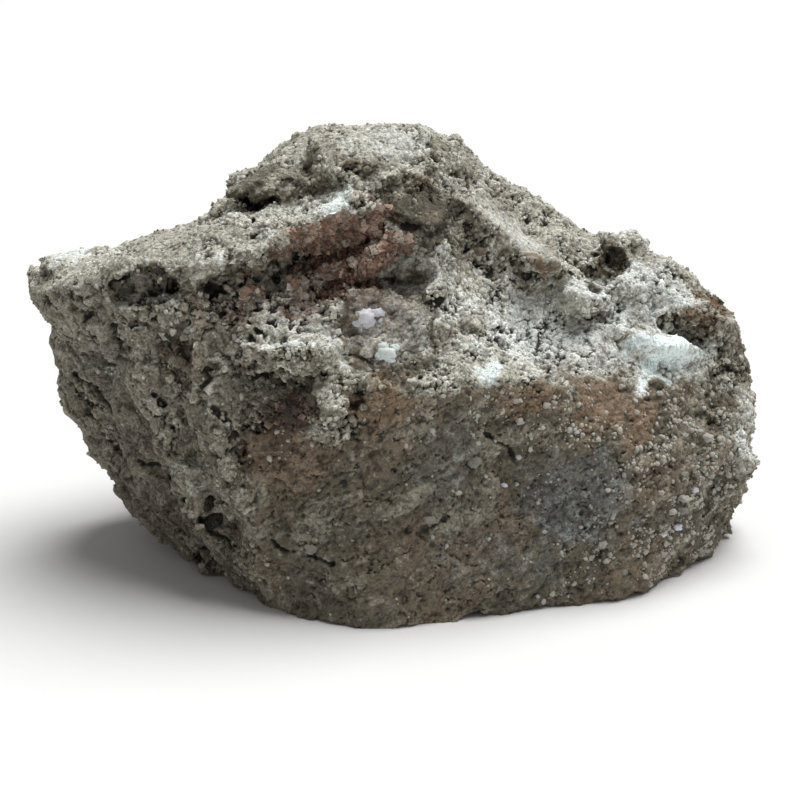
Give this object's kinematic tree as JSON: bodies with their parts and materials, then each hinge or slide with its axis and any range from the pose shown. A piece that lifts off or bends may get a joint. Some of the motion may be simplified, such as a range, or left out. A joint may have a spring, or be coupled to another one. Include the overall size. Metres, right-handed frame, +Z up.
{
  "type": "rock salt specimen",
  "caption": "Rough lump of natural rock salt with granular crust, a bare cloudy salt face, crystal-lined hollows and popcorn nodules, standing on a flat broken face.",
  "frame": {"origin": "middle of the bounding box in X and Y, at the level that the lump stands on", "axes": "+Z up, +X from the left corner to the right shoulder, -Y the side with the bare salt face"},
  "size_m": [0.16, 0.094, 0.095],
  "materials": {
    "rock_salt": "natural stone: rough grey-beige salt crust, with a smoother cloudy grey-brown salt face"
  },
  "bodies": {
    "root": {"rock_salt_specimen": "rock_salt"}
  },
  "joints": []
}
